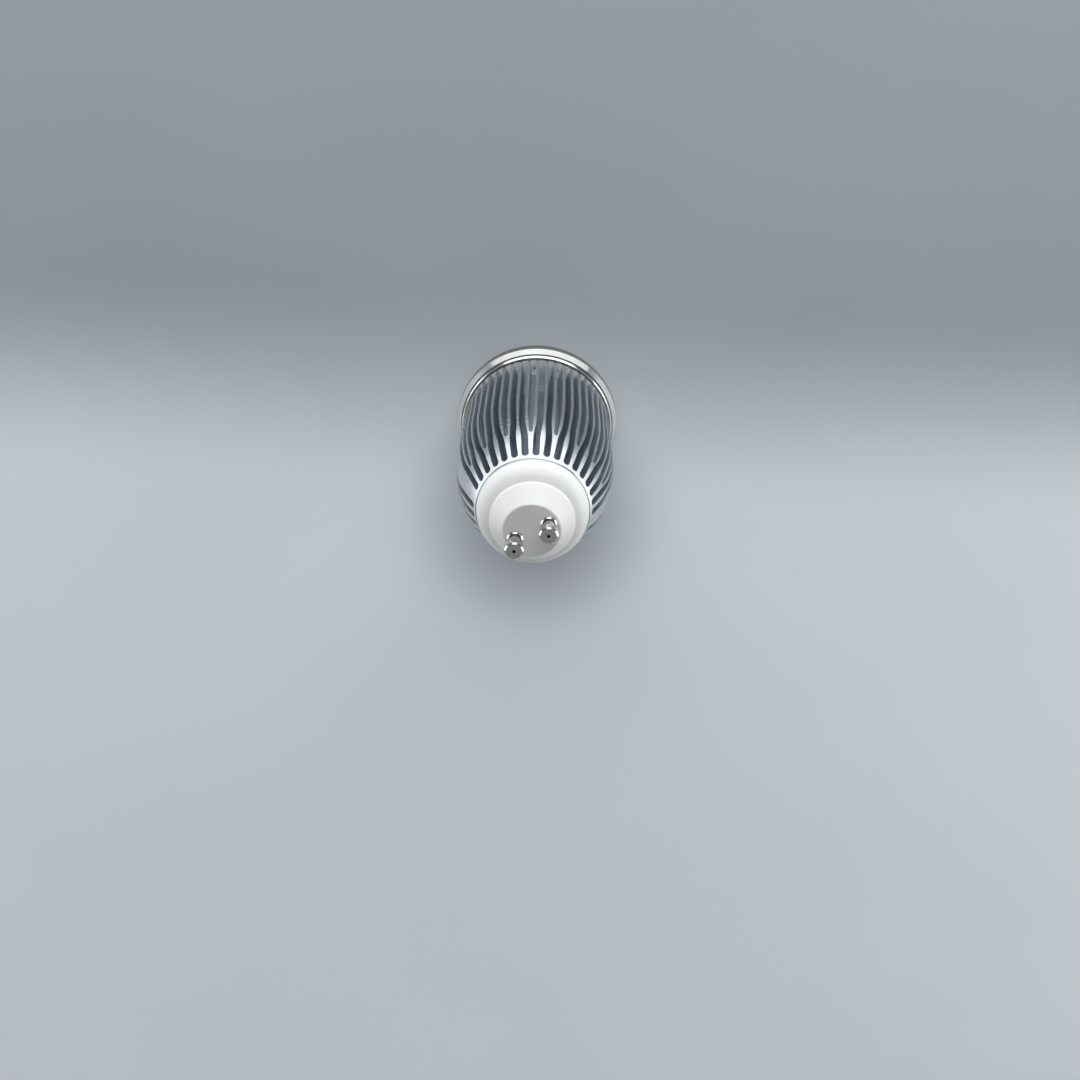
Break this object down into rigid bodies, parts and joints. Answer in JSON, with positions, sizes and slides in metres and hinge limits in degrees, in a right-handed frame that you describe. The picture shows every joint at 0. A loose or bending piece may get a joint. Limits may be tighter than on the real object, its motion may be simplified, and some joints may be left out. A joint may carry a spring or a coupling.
{
  "type": "gu10 spotlight bulb",
  "caption": "Reflector spot lamp with a domed slotted aluminium heat sink, forked cooling fins, a polished front rim, a white plastic base and bayonet contact pins.",
  "frame": {"origin": "centre of the front rim's flat face, which the lamp stands on", "axes": "+Z along the lamp's axis from the front rim to the contact pins, +X through the two pins"},
  "size_m": [0.0506, 0.0506, 0.0809],
  "materials": {
    "turned_aluminium": "turned, bright",
    "polished_aluminium": "polished",
    "clear_cover": "clear",
    "bright_dish": "bright",
    "grey_pad": "matte",
    "white_metal_board": "satin",
    "yellow_phosphor": "satin",
    "steel_screw": "plated",
    "white_plastic": "satin",
    "plated_pin": "bright",
    "green_board": "satin",
    "capacitor_sleeve": "gloss",
    "ferrite": "matte",
    "yellow_tape": "gloss",
    "resistor_body": "gloss",
    "black_package": "matte",
    "red_wire": "gloss",
    "black_wire": "gloss",
    "white_wire": "gloss"
  },
  "bodies": {
    "root": {"heat_sink": "turned_aluminium", "front_bezel": "polished_aluminium", "cover_lens": "clear_cover", "reflector": "bright_dish", "thermal_pad": "grey_pad", "led_board": "white_metal_board", "led_emitter": "yellow_phosphor", "led_screws": "steel_screw", "base_housing": "white_plastic", "base_screws": "steel_screw", "contact_pin_a": "plated_pin", "contact_pin_b": "plated_pin", "driver_board": "green_board", "output_capacitor": "capacitor_sleeve", "transformer_core": "ferrite", "transformer_winding": "yellow_tape", "choke_coil": "ferrite", "fuse_resistor": "resistor_body", "input_capacitor": "capacitor_sleeve", "driver_chip": "black_package", "bridge_rectifier": "black_package", "output_lead_a": "red_wire", "output_lead_b": "black_wire", "input_lead_a": "white_wire", "input_lead_b": "white_wire"}
  },
  "joints": []
}
